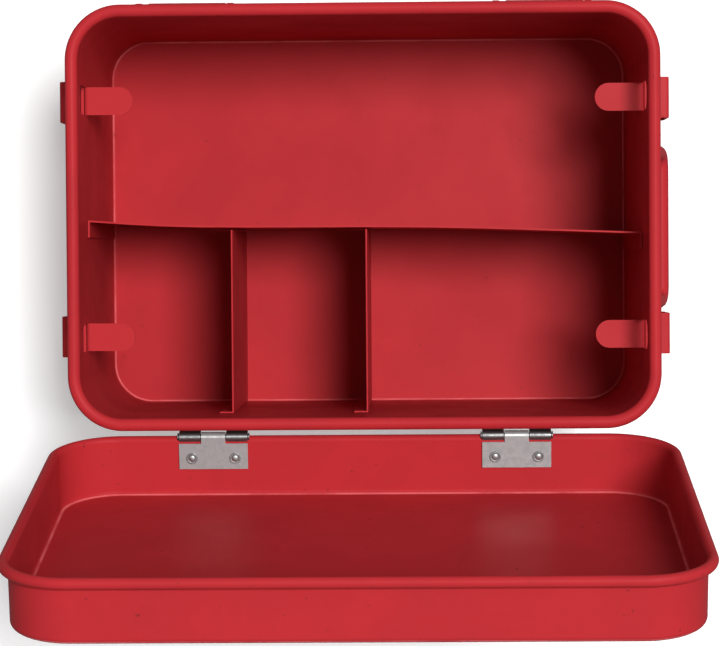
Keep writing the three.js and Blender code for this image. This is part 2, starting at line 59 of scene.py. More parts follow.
MM = 0.001
WELD = 0.001 * MM
CURL_END_DEG = -125.0
CURL_STEPS = 28
BEND_STEPS = 8
CORNER_STEPS = 24
TURN_STEPS = 32
HOLE_STEPS = 48
BODY_LOW, BODY_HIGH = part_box("body_shell")
LID_LOW, LID_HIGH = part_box("lid_shell")
JOINTS = {joint["name"]: joint for joint in frame["joints"]}
LID_AXIS = Vector(JOINTS["lid_hinge"]["pos_m"])
LID_OPEN = math.radians(JOINTS["lid_hinge"]["range_deg"][1])
LID_PLACE = Matrix.Translation(LID_AXIS) @ Matrix.Rotation(-LID_OPEN, 4, "X")
HANDS = (("left", -1), ("right", 1))
ENDS = ("front", "rear")


# ---------------------------------------------------------------- sizes and colours

def length(name, default, description):
    return FloatProperty(name=name, description=description, default=default, min=0.0,
                         subtype="DISTANCE", unit="LENGTH")


def colour(name, default, description):
    return FloatVectorProperty(name=name, description=description, default=default, size=3,
                               min=0.0, max=1.0, subtype="COLOR")


def number(name, default, description):
    return FloatProperty(name=name, description=description, default=default)


def position(name, default, description):
    return FloatVectorProperty(name=name, description=description, default=default, size=3,
                               subtype="TRANSLATION", unit="LENGTH")


def rotation(name, default_deg, description):
    return FloatProperty(name=name, description=description, default=math.radians(default_deg),
                         subtype="ANGLE", unit="ROTATION")


class BodySizes(bpy.types.PropertyGroup):
    sheet: length("Sheet", 1.0 * MM, "Thickness of the body's steel sheet")
    curl: length("Rim radius", 3.65 * MM, "Outer radius of the rolled rim")
    corner: length("Corner radius", 32 * MM, "Plan radius of the corners over the rolled rim")
    bend: length("Bottom bend", 3 * MM, "Outer radius between the walls and the floor")
    support_top: length("Support height", 137 * MM, "Top of the tray supports above the underside")
    support_width: length("Support width", 16.4 * MM, "Width of a tray support")
    support_length: length("Support length", 28 * MM, "Reach of a tray support from the wall")
    support_bend: length("Support bend", 2.5 * MM, "Outer radius of the bend at a support's root")
    support_play: length("Support play", 0.3 * MM, "Gap between a support and its hole, on each side")
    station: length("Support station", 70 * MM, "Distance of the supports from the middle of the box")


class LidSizes(bpy.types.PropertyGroup):
    sheet: length("Sheet", 0.9 * MM, "Thickness of the lid's steel sheet")
    curl: length("Rim radius", 3.0 * MM, "Outer radius of the rolled rim")
    width: length("Width", 262.3 * MM, "Width over the rolled rim, hinge side to latch side")
    depth: length("Depth", 32.8 * MM, "Middle of the rolled rim to the top's outer face")
    corner: length("Corner radius", 39.5 * MM, "Plan radius of the corners over the rolled rim")
    bend: length("Top bend", 3.5 * MM, "Outer radius between the walls and the top")
    overhang: length("Rear overhang", 4.6 * MM, "Hinge axis to the outside of the rear rim")
    rim_rise: length("Rim rise", 2.7 * MM, "Middle of the rim above the hinge axis when closed")
    notch: length("Hinge notch", 21.5 * MM, "Half length of the notch cut in the rim for a hinge")


class RivetSizes(bpy.types.PropertyGroup):
    head: length("Head radius", 3.3 * MM, "Radius of the head's collar")
    height: length("Head height", 0.95 * MM, "Height of the head over the hinge leaf")
    shank: length("Shank radius", 2.0 * MM, "Radius of the shank")
    grip: length("Grip", 3.0 * MM, "Leaf and lid wall that the rivet holds together")
    tail: length("Tail height", 1.2 * MM, "Height of the tail outside the lid")
    stand: length("Face", 3.2 * MM, "Hinge axis to the plane that the head lies on")
    rise: length("Rise", 12.1 * MM, "Hinge axis to the rivets, across the leaf")


class EnamelLook(bpy.types.PropertyGroup):
    paint: colour("Paint", (0.47, 0.026, 0.032), "Main colour of the enamel")
    dull: colour("Dull paint", (0.38, 0.022, 0.028), "Colour where the enamel has dulled")
    grime: colour("Grime", (0.055, 0.016, 0.016), "Colour of specks and of dirt")
    rubbed: colour("Rubbed edge", (0.55, 0.05, 0.055), "Colour of enamel worn thin along an edge")
    # Painted highlight: the pale line that light catches along the floor's inner bend, laid into the
    # enamel's colour.
    bend_highlight: colour("Crease", (0.74, 0.15, 0.16), "Colour of the highlight painted along the bend of the floor")
    gloss: number("Roughness", 0.38, "Roughness of clean enamel")
    shine: number("Shine", 0.04, "Strength of the reflections of clean enamel")


class SteelLook(bpy.types.PropertyGroup):
    bright: colour("Bright steel", (0.46, 0.475, 0.475), "Colour of clean plated steel")
    dull: colour("Dull steel", (0.24, 0.25, 0.245), "Colour of tarnished plated steel")
    worn: colour("Worn edge", (0.75, 0.76, 0.76), "Colour of edges rubbed bright")
    roughness: number("Roughness", 0.32, "Roughness of the brushed steel")
    metal: number("Metal", 0.5, "How far the dulled plating still mirrors like bare metal")


class StageSizes(bpy.types.PropertyGroup):
    floor: length("Floor", 24.0, "Length of the floor's side")
    floor_colour: colour("Floor colour", (0.9, 0.9, 0.9), "Colour of the floor")
    floor_glow: number("Floor glow", 0.32, "Light that the floor gives off, as a lit table does")
    camera: position("Camera", (-0.0303, 0.0228, 1.6835), "Place of the camera")
    pitch: rotation("Camera pitch", -1.4815, "Turn of the camera about X")
    yaw: rotation("Camera yaw", 1.2211, "Turn of the camera about Y")
    roll: rotation("Camera roll", 179.582, "Turn of the camera about Z")
    lens: number("Lens", 130.5, "Focal length of the camera, in millimetres")
    key: position("Key light", (-1.6, -0.85, 6.5), "Place of the soft key light")
    key_size: length("Key light size", 2.1, "Diameter of the key light")
    key_power: number("Key light power", 455.0, "Power of the key light, in watts")
    glint: position("Glint light", (-1.1, -1.1, 2.0), "Place of the light that only shows in reflections")
    glint_size: length("Glint light size", 0.5, "Diameter of the glint light")
    glint_power: number("Glint light power", 42.0, "Power of the glint light, in watts")
    sky: number("Sky", 0.27, "Strength of the light from all round")


class ToolboxSettings(bpy.types.PropertyGroup):
    body: PointerProperty(type=BodySizes)
    lid: PointerProperty(type=LidSizes)
    rivets: PointerProperty(type=RivetSizes)
    enamel: PointerProperty(type=EnamelLook)
    steel: PointerProperty(type=SteelLook)
    stage: PointerProperty(type=StageSizes)


# ---------------------------------------------------------------- shader node groups

def new_group(name, inputs, outputs):
    """A shader node group with the sockets given as (name, kind, default)."""
    group = bpy.data.node_groups.new(name, "ShaderNodeTree")
    for label, kind, default in inputs:
        socket = group.interface.new_socket(name=label, in_out="INPUT", socket_type=kind)
        socket.default_value = default
    for label, kind in outputs:
        group.interface.new_socket(name=label, in_out="OUTPUT", socket_type=kind)
    return group


def add_node(tree, kind, **settings):
    node = tree.nodes.new(kind)
    for key, value in settings.items():
        if key in node.inputs:
            node.inputs[key].default_value = value
        else:
            setattr(node, key, value)
    return node


def noise(tree, vector, scale, detail=4.0, roughness=0.55):
    node = add_node(tree, "ShaderNodeTexNoise", Scale=scale, Detail=detail, Roughness=roughness)
    tree.links.new(vector, node.inputs["Vector"])
    return node.outputs["Fac"]


def ramp(tree, value, low, high, to_low=0.0, to_high=1.0):
    node = add_node(tree, "ShaderNodeMapRange", interpolation_type="SMOOTHSTEP")
    for name, limit in (("From Min", low), ("From Max", high), ("To Min", to_low), ("To Max", to_high)):
        node.inputs[name].default_value = limit
    tree.links.new(value, node.inputs["Value"])
    return node.outputs["Result"]


def maths(tree, operation, first, second):
    node = add_node(tree, "ShaderNodeMath", operation=operation)
    for socket, value in zip(node.inputs, (first, second)):
        if isinstance(value, bpy.types.NodeSocket):
            tree.links.new(value, socket)
        else:
            socket.default_value = value
    return node.outputs["Value"]


def mix(tree, factor, first, second):
    node = add_node(tree, "ShaderNodeMix", data_type="RGBA")
    sockets = [socket for socket in node.inputs if socket.type == "RGBA"]
    tree.links.new(factor, node.inputs[0])
    for socket, value in zip(sockets, (first, second)):
        if isinstance(value, bpy.types.NodeSocket):
            tree.links.new(value, socket)
        else:
            socket.default_value = (*value, 1.0)
    return next(socket for socket in node.outputs if socket.type == "RGBA")


def edge_wear_group():
    """Mask of sharp outer edges, broken up by noise."""
    group = new_group(
        "Edge wear",
        [("Vector", "NodeSocketVector", (0, 0, 0)), ("Radius", "NodeSocketFloat", 0.7 * MM)],
        [("Mask", "NodeSocketFloat")],
    )
    start = group.nodes.new("NodeGroupInput")
    end = group.nodes.new("NodeGroupOutput")
    bevel = add_node(group, "ShaderNodeBevel", samples=4)
    group.links.new(start.outputs["Radius"], bevel.inputs["Radius"])
    plain = group.nodes.new("ShaderNodeNewGeometry")
    dot = add_node(group, "ShaderNodeVectorMath", operation="DOT_PRODUCT")
    group.links.new(bevel.outputs["Normal"], dot.inputs[0])
    group.links.new(plain.outputs["Normal"], dot.inputs[1])
    edge = ramp(group, dot.outputs["Value"], 0.999, 0.86)
    patch = ramp(group, noise(group, start.outputs["Vector"], 60, 5), 0.38, 0.62)
    group.links.new(maths(group, "MULTIPLY", edge, patch), end.inputs["Mask"])
    return group


def bend_highlight_group():
    """Mask of a highlight painted along a pan's inner bend: a band just above the floor's plane, broken up
    by noise.
    """
    group = new_group(
        "Bend highlight",
        [("Vector", "NodeSocketVector", (0, 0, 0)), ("Up", "NodeSocketVector", (0, 0, 1)),
         ("Floor", "NodeSocketFloat", 0.0)],
        [("Mask", "NodeSocketFloat")],
    )
    start = group.nodes.new("NodeGroupInput")
    end = group.nodes.new("NodeGroupOutput")
    dot = add_node(group, "ShaderNodeVectorMath", operation="DOT_PRODUCT")
    group.links.new(start.outputs["Vector"], dot.inputs[0])
    group.links.new(start.outputs["Up"], dot.inputs[1])
    height = maths(group, "SUBTRACT", dot.outputs["Value"], start.outputs["Floor"])
    rise = ramp(group, height, 0.05 * MM, 0.22 * MM)
    fall = ramp(group, height, 1.05 * MM, 0.65 * MM)
    patch = ramp(group, noise(group, start.outputs["Vector"], 45, 5), 0.30, 0.60, 0.35, 1.0)
    band = maths(group, "MULTIPLY", rise, fall)
    group.links.new(maths(group, "MULTIPLY", band, patch), end.inputs["Mask"])
    return group


def mottle_group():
    """Slow cloudy variation, fine specks, and the slight waviness of sprayed enamel."""
    group = new_group(
        "Mottle",
        [("Vector", "NodeSocketVector", (0, 0, 0))],
        [("Cloud", "NodeSocketFloat"), ("Specks", "NodeSocketFloat"), ("Height", "NodeSocketFloat")],
    )
    start = group.nodes.new("NodeGroupInput")
    end = group.nodes.new("NodeGroupOutput")
    vector = start.outputs["Vector"]
    cloud = ramp(group, noise(group, vector, 14, 6, 0.62), 0.30, 0.72)
    group.links.new(cloud, end.inputs["Cloud"])
    coarse = ramp(group, noise(group, vector, 260, 2, 0.4), 0.72, 0.80)
    fine = ramp(group, noise(group, vector, 850, 2, 0.5), 0.70, 0.78)
    group.links.new(maths(group, "MAXIMUM", coarse, fine), end.inputs["Specks"])
    peel = noise(group, vector, 420, 2, 0.5)
    wave = maths(group, "MULTIPLY", noise(group, vector, 9, 2, 0.5), 6.0)
    group.links.new(maths(group, "ADD", peel, wave), end.inputs["Height"])
    return group


def grain_group():
    """Fine parallel scratches along X with cloudy tarnish."""
    group = new_group(
        "Brushed grain",
        [("Vector", "NodeSocketVector", (0, 0, 0))],
        [("Grain", "NodeSocketFloat"), ("Tarnish", "NodeSocketFloat")],
    )
    start = group.nodes.new("NodeGroupInput")
    end = group.nodes.new("NodeGroupOutput")
    stretch = add_node(group, "ShaderNodeMapping", Scale=(0.12, 1.0, 1.0))
    group.links.new(start.outputs["Vector"], stretch.inputs["Vector"])
    group.links.new(noise(group, stretch.outputs["Vector"], 2600, 3, 0.6), end.inputs["Grain"])
    tarnish = ramp(group, noise(group, start.outputs["Vector"], 210, 6, 0.65), 0.36, 0.68)
    group.links.new(tarnish, end.inputs["Tarnish"])
    return group


def node_group(name, maker):
    return bpy.data.node_groups.get(name) or maker()


def place_group(tree, name, maker, vector, **values):
    node = tree.nodes.new("ShaderNodeGroup")
    node.node_tree = node_group(name, maker)
    tree.links.new(vector, node.inputs["Vector"])
    for key, value in values.items():
        node.inputs[key].default_value = value
    return node.outputs


# ---------------------------------------------------------------- materials

def start_material(name):
    material = bpy.data.materials.new(name)
    material.use_nodes = True
    tree = material.node_tree
    shader = tree.nodes["Principled BSDF"]
    vector = tree.nodes.new("ShaderNodeTexCoord").outputs["Object"]
    return material, tree, shader, vector


def finish_bump(tree, shader, height, distance):
    bump = add_node(tree, "ShaderNodeBump", Strength=1.0, Distance=distance)
    tree.links.new(height, bump.inputs["Height"])
    tree.links.new(bump.outputs["Normal"], shader.inputs["Normal"])


def enamel(name, wear=0.35, speckle=0.35, dulling=0.6, floor=None):
    """Satin red enamel: wear is how much edges are rubbed, speckle how dirty, dulling how cloudy.

    A pan gives its floor as an upward direction and a height along it; a highlight is painted along its
    inner bend.
    """
    if name in bpy.data.materials:
        return bpy.data.materials[name]
    look = bpy.context.scene.toolbox.enamel
    material, tree, shader, vector = start_material(name)
    mottle = place_group(tree, "Mottle", mottle_group, vector)
    edge = place_group(tree, "Edge wear", edge_wear_group, vector)
    base = mix(tree, maths(tree, "MULTIPLY", mottle["Cloud"], dulling), look.paint, look.dull)
    rubbed = mix(tree, maths(tree, "MULTIPLY", edge["Mask"], wear), base, look.rubbed)
    # Painted highlight: the enamel is lightened along the floor's inner bend where light catches it, so
    # after this rubbed holds worn edges and the painted highlight.
    if floor:
        up, height = floor
        bend_highlight = place_group(tree, "Bend highlight", bend_highlight_group, vector, Up=up, Floor=height)
        rubbed = mix(tree, maths(tree, "MULTIPLY", bend_highlight["Mask"], 0.8), rubbed, look.bend_highlight)
    specks = maths(tree, "MULTIPLY", mottle["Specks"], speckle)
    tree.links.new(mix(tree, specks, rubbed, look.grime), shader.inputs["Base Color"])
    rough = maths(tree, "ADD", maths(tree, "MULTIPLY", mottle["Cloud"], 0.10), look.gloss)
    rough = maths(tree, "ADD", rough, maths(tree, "MULTIPLY", specks, 0.25))
    tree.links.new(rough, shader.inputs["Roughness"])
    shader.inputs["Specular IOR Level"].default_value = look.shine
    finish_bump(tree, shader, mottle["Height"], 0.012 * MM)
    return material


def fittings_enamel():
    return enamel("Enamel fittings", wear=0.5, speckle=0.25, dulling=0.35)


def plated_steel(name, tarnish=0.7, shade=1.0, metal=None):
    """Dulled, brushed plated steel; shade scales its tones down for a darker copy."""
    if name in bpy.data.materials:
        return bpy.data.materials[name]
    look = bpy.context.scene.toolbox.steel
    material, tree, shader, vector = start_material(name)
    grain = place_group(tree, "Brushed grain", grain_group, vector)
    edge = place_group(tree, "Edge wear", edge_wear_group, vector, Radius=0.4 * MM)
    bright, dull, worn = ([shade * level for level in tone] for tone in (look.bright, look.dull, look.worn))
    base = mix(tree, maths(tree, "MULTIPLY", grain["Tarnish"], tarnish), bright, dull)
    lines = mix(tree, maths(tree, "MULTIPLY", grain["Grain"], 0.35), base, dull)
    edges = mix(tree, maths(tree, "MULTIPLY", edge["Mask"], 0.6), lines, worn)
    tree.links.new(edges, shader.inputs["Base Color"])
    rough = maths(tree, "ADD", maths(tree, "MULTIPLY", grain["Tarnish"], 0.16), look.roughness)
    rough = maths(tree, "ADD", rough, maths(tree, "MULTIPLY", grain["Grain"], 0.10))
    tree.links.new(rough, shader.inputs["Roughness"])
    shader.inputs["Metallic"].default_value = look.metal if metal is None else metal
    finish_bump(tree, shader, grain["Grain"], 0.02 * MM)
    return material


# ---------------------------------------------------------------- mesh helpers

def finish_piece(bm, name, material, body, nodes):
    """Turns a bmesh into a finished piece that rides on a body and stands for its CAD nodes."""
    mesh = bpy.data.meshes.new(name)
    bm.to_mesh(mesh)
    bm.free()
    mesh.shade_smooth()
    mesh.set_sharp_from_angle(angle=math.radians(35))
    mesh.materials.append(material)
    piece = bpy.data.objects.new(name, mesh)
    bpy.context.scene.collection.objects.link(piece)
    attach(piece, body)
    if nodes:
        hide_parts(*nodes)
    return piece


def add_modifier(piece, kind, name, **settings):
    modifier = piece.modifiers.new(name, kind)
    for key, value in settings.items():
        setattr(modifier, key, value)
    return modifier


def soften(piece, width, segments=2):
    """Rounds the hard edges and keeps flat faces looking flat."""
    add_modifier(piece, "BEVEL", "Edges", width=width, segments=segments, limit_method="ANGLE",
                 angle_limit=math.radians(30), use_clamp_overlap=True)
    add_modifier(piece, "WEIGHTED_NORMAL", "Flats", keep_sharp=True)


def apply_modifiers(piece):
    graph = bpy.context.evaluated_depsgraph_get()
    finished = bpy.data.meshes.new_from_object(piece.evaluated_get(graph), depsgraph=graph)
    piece.modifiers.clear()
    piece.data = finished


def cut_away(piece, cutters):
    """Cuts the cutters out of the piece and removes them."""
    for cutter in cutters:
        add_modifier(piece, "BOOLEAN", "Cut", operation="DIFFERENCE", solver="EXACT", object=cutter)
    apply_modifiers(piece)
    for cutter in cutters:
        bpy.data.objects.remove(cutter)


def cutter_from(bm, name):
    bmesh.ops.recalc_face_normals(bm, faces=bm.faces)
    mesh = bpy.data.meshes.new(name)
    bm.to_mesh(mesh)
    bm.free()
    cutter = bpy.data.objects.new(name, mesh)
    bpy.context.scene.collection.objects.link(cutter)
    return cutter


def only(elements, kind):
    return [element for element in elements if isinstance(element, kind)]


def extrude_edges(bm, edges, offset):
    """Extrudes edges by an offset and returns the new edges."""
    grown = bmesh.ops.extrude_edge_only(bm, edges=edges)["geom"]
    bmesh.ops.translate(bm, verts=only(grown, bmesh.types.BMVert), vec=offset)
    return only(grown, bmesh.types.BMEdge)


def spin_edges(bm, edges, centre, axis, angle, steps):
    """Sweeps edges round an axis and returns the last edges."""
    verts = list({v for e in edges for v in e.verts})
    spun = bmesh.ops.spin(bm, geom=verts + edges, cent=centre, axis=axis, angle=angle, steps=steps,
                          use_merge=False, use_duplicate=False)
    return only(spun["geom_last"], bmesh.types.BMEdge)


def revolve(bm, points, axis_point, axis):
    """A full turn of a profile about an axis, closed at its poles."""
    verts = [bm.verts.new(point) for point in points]
    edges = [bm.edges.new(pair) for pair in zip(verts, verts[1:])]
    bmesh.ops.spin(bm, geom=verts + edges, cent=axis_point, axis=axis, angle=2 * math.pi,
                   steps=TURN_STEPS, use_merge=True, use_duplicate=False)
    bmesh.ops.remove_doubles(bm, verts=bm.verts, dist=WELD)
    bmesh.ops.recalc_face_normals(bm, faces=bm.faces)


def arc_points(centre, radius, start_deg, end_deg, steps):
    for step in range(steps + 1):
        angle = math.radians(start_deg + (end_deg - start_deg) * step / steps)
        yield centre[0] + radius * math.cos(angle), centre[1] + radius * math.sin(angle)


def pan_surface(half_x, half_y, corner, rim, sheet, curl, bend):
    """Inner face of a drawn pan: floor, bend, wall and rolled rim, in one open sheet."""
    section = [
        *arc_points((-bend, bend), bend - sheet, -90, 0, BEND_STEPS),
        *arc_points((curl - sheet, rim), curl, 180, CURL_END_DEG, CURL_STEPS),
    ]
    bm = bmesh.new()
    side = half_y - corner
    verts = [bm.verts.new((half_x + out, -side, up)) for out, up in section]
    edges = [bm.edges.new(pair) for pair in zip(verts, verts[1:])]
    for quarter in range(4):
        turn = Matrix.Rotation(quarter * math.pi / 2, 3, "Z")
        run = 2 * (half_y - corner if quarter % 2 == 0 else half_x - corner)
        edges = extrude_edges(bm, edges, turn @ Vector((0, run, 0)))
        reach_x = half_x - corner if quarter in (0, 3) else corner - half_x
        reach_y = half_y - corner if quarter in (0, 1) else corner - half_y
        edges = spin_edges(bm, edges, (reach_x, reach_y, 0), (0, 0, 1), math.pi / 2, CORNER_STEPS)
    bmesh.ops.remove_doubles(bm, verts=bm.verts, dist=WELD)
    floor_edges = [e for e in bm.edges if e.is_boundary and all(v.co.z < sheet + WELD for v in e.verts)]
    bmesh.ops.contextual_create(bm, geom=floor_edges)
    bmesh.ops.recalc_face_normals(bm, faces=bm.faces)
    low_faces = [face for face in bm.faces if face.calc_center_median().z < 2 * sheet]
    floor = max(low_faces, key=lambda face: face.calc_area())
    if floor.normal.z < 0:
        bmesh.ops.reverse_faces(bm, faces=bm.faces)
    return bm


def refine_node(node, material, body, bevel, segments=2):
    """A finished piece made from a merged copy of a CAD node, with its edges rounded."""
    bm = bmesh.new()
    bm.from_mesh(frame["nodes"][node].data)
    bmesh.ops.remove_doubles(bm, verts=bm.verts, dist=WELD)
    bmesh.ops.dissolve_limit(bm, angle_limit=math.radians(0.5), verts=bm.verts, edges=bm.edges)
    piece = finish_piece(bm, node + "_finish", material, body, [node])
    soften(piece, bevel, segments)
    return piece


# ---------------------------------------------------------------- operators

class TOOLBOX_OT_body(bpy.types.Operator):
    """Body pressed from one sheet, with its rolled rim and the holes of the tray supports"""
    bl_idname = "toolbox.body"
    bl_label = "Body"

    def execute(self, context):
        sizes = context.scene.toolbox.body
        inset = 2 * sizes.curl - sizes.sheet
        half_x, half_y = BODY_HIGH.x - inset, BODY_HIGH.y - inset
        bm = pan_surface(half_x, half_y, sizes.corner - inset, BODY_HIGH.z - sizes.curl,
                         sizes.sheet, sizes.curl, sizes.bend)
        # The floor's plane places the highlight painted along the body's inner bend.
        finish = enamel("Enamel body", floor=((0, 0, 1), sizes.sheet))
        shell = finish_piece(bm, "body", finish, "case", ["body_shell"])
        add_modifier(shell, "SOLIDIFY", "Sheet", thickness=sizes.sheet, offset=-1.0)
        cutters = [self.hole_cutter(sizes, half_x, side, y) for _, side in HANDS for y in (-1, 1)]
        cut_away(shell, cutters)
        add_modifier(shell, "WEIGHTED_NORMAL", "Flats", keep_sharp=True)
        return {"FINISHED"}

    def hole_cutter(self, sizes, wall, side, end):
        """A slab with a round top, where a tray support was lanced out of the wall."""
        half = sizes.support_width / 2 + sizes.support_play
        low = sizes.support_top - sizes.support_bend
        reach = 3 * sizes.sheet
        bm = bmesh.new()
        outline = bmesh.ops.create_circle(bm, cap_ends=True, segments=HOLE_STEPS, radius=half,
                                          matrix=Matrix.Rotation(math.pi / 2, 4, "Y"))["verts"]
        top = low + sizes.support_length + sizes.support_bend - half
        lower = [v for v in outline if v.co.z < WELD]
        bmesh.ops.translate(bm, verts=outline, vec=(side * (wall - reach), end * sizes.station, top))
        for vert in lower:
            vert.co.z = low
        grown = bmesh.ops.extrude_face_region(bm, geom=list(bm.faces))["geom"]
        bmesh.ops.translate(bm, verts=only(grown, bmesh.types.BMVert), vec=(side * 2 * reach, 0, 0))
        bmesh.ops.remove_doubles(bm, verts=bm.verts, dist=WELD)
        return cutter_from(bm, "support_hole")


class TOOLBOX_OT_supports(bpy.types.Operator):
    """Tray supports: round-ended tongues bent inwards from the short walls"""
    bl_idname = "toolbox.supports"
    bl_label = "Tray supports"

    def execute(self, context):
        sizes = context.scene.toolbox.body
        for hand, side in HANDS:
            for end, way in zip(ENDS, (-1, 1)):
                self.support(sizes, f"tray_support_{hand}_{end}", side, way * sizes.station)
        return {"FINISHED"}

    def support(self, sizes, name, side, y):
        """A strip bent in from the wall, drawn at the right-hand wall and turned for the left."""
        wall = BODY_HIGH.x - 2 * sizes.curl + sizes.sheet
        half = sizes.support_width / 2
        bend = sizes.support_bend
        low = sizes.support_top - bend
        lap = 0.02 * MM
        bm = bmesh.new()
        root = [bm.verts.new((wall, y_end, low - lap)) for y_end in (-half, half)]
        edges = [bm.edges.new(root)]
        edges = extrude_edges(bm, edges, (0, 0, lap))
        edges = spin_edges(bm, edges, (wall - bend, 0, low), (0, -1, 0), math.pi / 2, BEND_STEPS)
        tip = wall - sizes.sheet - sizes.support_length
        edges = extrude_edges(bm, edges, (tip - wall + bend, 0, 0))
        # Just short of the half width, so that the two round corners don't meet in one point.
        tip_verts = list(edges[0].verts)
        bmesh.ops.bevel(bm, geom=tip_verts, offset=half * 0.995, offset_type="OFFSET", segments=14,
                        profile=0.5, affect="VERTICES", material=-1)
        bmesh.ops.remove_doubles(bm, verts=bm.verts, dist=WELD)
        bmesh.ops.recalc_face_normals(bm, faces=bm.faces)
        flat = max(bm.faces, key=lambda face: face.calc_area())
        if flat.normal.z < 0:
            bmesh.ops.reverse_faces(bm, faces=bm.faces)
        if side < 0:
            bmesh.ops.rotate(bm, verts=bm.verts, cent=(0, 0, 0), matrix=Matrix.Rotation(math.pi, 3, "Z"))
        bmesh.ops.translate(bm, verts=bm.verts, vec=(0, y, 0))
        piece = finish_piece(bm, name, fittings_enamel(), "case", [])
        add_modifier(piece, "SOLIDIFY", "Sheet", thickness=sizes.sheet, offset=-1.0)
        soften(piece, 0.3 * MM, 3)


class TOOLBOX_OT_lid(bpy.types.Operator):
    """Lid pressed from one sheet, with its rolled rim notched for the hinges"""
    bl_idname = "toolbox.lid"
    bl_label = "Lid"

    def execute(self, context):
        sizes = context.scene.toolbox.lid
        inset = 2 * sizes.curl - sizes.sheet
        bm = pan_surface(LID_HIGH.x - inset, sizes.width / 2 - inset, sizes.corner - inset, sizes.depth,
                         sizes.sheet, sizes.curl, sizes.bend)
        shut = Matrix.Translation((0, sizes.overhang - sizes.width / 2, sizes.rim_rise + sizes.depth))
        bm.transform(LID_PLACE @ shut @ Matrix.Rotation(math.pi, 4, "X"))
        # The lid's floor plane places the highlight painted along its inner bend.
        up = LID_PLACE.to_3x3() @ Vector((0, 0, -1))
        inside = LID_PLACE @ Vector((0, 0, sizes.rim_rise + sizes.depth - sizes.sheet))
        finish = enamel("Enamel lid", speckle=0.45, floor=(up, up.dot(inside)))
        lid = finish_piece(bm, "lid", finish, "lid", ["lid_shell"])
        add_modifier(lid, "SOLIDIFY", "Sheet", thickness=sizes.sheet, offset=-1.0)
        cut_away(lid, [self.notch_cutter(sizes, f"hinge_lid_leaf_{hand}") for hand, _ in HANDS])
        add_modifier(lid, "WEIGHTED_NORMAL", "Flats", keep_sharp=True)
        return {"FINISHED"}

    def notch_cutter(self, sizes, leaf):
        """A block round a hinge's axis, drawn with the lid closed and then opened with it."""
        low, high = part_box(leaf)
        middle = ((low.x + high.x) / 2, 1.6 * MM, 2.5 * MM)
        across, tall = 8 * MM, 7 * MM
        bm = bmesh.new()
        bmesh.ops.create_cube(bm, size=1.0)
        bmesh.ops.scale(bm, verts=bm.verts, vec=(2 * sizes.notch, across, tall))
        bmesh.ops.translate(bm, verts=bm.verts, vec=middle)
        bm.transform(LID_PLACE)
        return cutter_from(bm, "hinge_notch")


class TOOLBOX_OT_partition(bpy.types.Operator):
    """Sheet dividers with their folded flanges"""
    bl_idname = "toolbox.partition"
    bl_label = "Partition"

    def execute(self, context):
        finish = enamel("Enamel partition", wear=0.8, speckle=0.25, dulling=0.5)
        for node in ("long_divider", "short_divider_middle", "short_divider_outer"):
            refine_node(node, finish, "case", 0.3 * MM)
        return {"FINISHED"}


class TOOLBOX_OT_loops(bpy.types.Operator):
    """Strap loops bent from flat bar on the short walls"""
    bl_idname = "toolbox.loops"
    bl_label = "Strap loops"

    def execute(self, context):
        finish = fittings_enamel()
        for hand, _ in HANDS:
            for end in ENDS:
                refine_node(f"strap_loop_{hand}_{end}", finish, "case", 0.8 * MM, 3)
        return {"FINISHED"}


class TOOLBOX_OT_handle(bpy.types.Operator):
    """Round-bar bail handle and the lugs that hold it"""
    bl_idname = "toolbox.handle"
    bl_label = "Handle"

    def execute(self, context):
        finish = fittings_enamel()
        for end in ENDS:
            refine_node(f"handle_lug_{end}", finish, "case", 0.35 * MM)
        refine_node("handle_bail", finish, "handle", 0.2 * MM)
        return {"FINISHED"}


class TOOLBOX_OT_hinges(bpy.types.Operator):
    """Butt hinges with their pins and the rivets of the lid leaves"""
    bl_idname = "toolbox.hinges"
    bl_label = "Hinges"

    def execute(self, context):
        steel = plated_steel("Plated steel")
        dark = plated_steel("Dark steel", tarnish=0.9, shade=0.55, metal=0.95)
        for hand, _ in HANDS:
            refine_node(f"hinge_body_leaf_{hand}", dark, "case", 0.2 * MM)
            refine_node(f"hinge_pin_{hand}", dark, "case", 0.15 * MM)
            refine_node(f"hinge_lid_leaf_{hand}", steel, "lid", 0.2 * MM)
            for place in ("inner", "outer"):
                self.rivet(context.scene.toolbox.rivets, f"hinge_rivet_{hand}_{place}")
        return {"FINISHED"}

    def rivet(self, sizes, node):
        """Peened rivet: a flat middle in a dark groove, and a collar round it."""
        low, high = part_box(node)
        head, shank, top, back = sizes.head, sizes.shank, sizes.height, -sizes.grip
        tail = head - 0.3 * MM
        profile = [
            (0.0, top), (0.45 * head, 0.95 * top), (0.58 * head, 0.7 * top),
            (0.66 * head, 0.15 * top), (0.76 * head, 0.2 * top),
            (0.83 * head, 0.75 * top), (0.92 * head, 0.75 * top), (head, 0.3 * top),
            (head, 0.0), (shank, 0.0), (shank, back),
            (tail, back), (tail, back - sizes.tail / 2),
            (shank, back - sizes.tail), (0.0, back - sizes.tail),
        ]
        middle = Vector(((low.x + high.x) / 2, -sizes.stand, sizes.rise))
        bm = bmesh.new()
        revolve(bm, [middle + Vector((out, -up, 0)) for out, up in profile], middle, (0, 1, 0))
        bm.transform(LID_PLACE)
        steel = plated_steel("Rivet steel", tarnish=0.5, shade=0.85, metal=0.9)
        finish_piece(bm, node + "_finish", steel, "lid", [node])


class TOOLBOX_OT_latches(bpy.types.Operator):
    """Over-centre latch levers, their bases and pins on the front wall"""
    bl_idname = "toolbox.latches"
    bl_label = "Latches"

    def execute(self, context):
        finish = fittings_enamel()
        steel = plated_steel("Plated steel")
        for hand, _ in HANDS:
            refine_node(f"latch_base_{hand}", finish, "case", 0.25 * MM)
            refine_node(f"latch_lever_{hand}", finish, "latch_" + hand, 0.3 * MM, 3)
            refine_node(f"latch_pin_{hand}", steel, "case", 0.2 * MM)
        return {"FINISHED"}


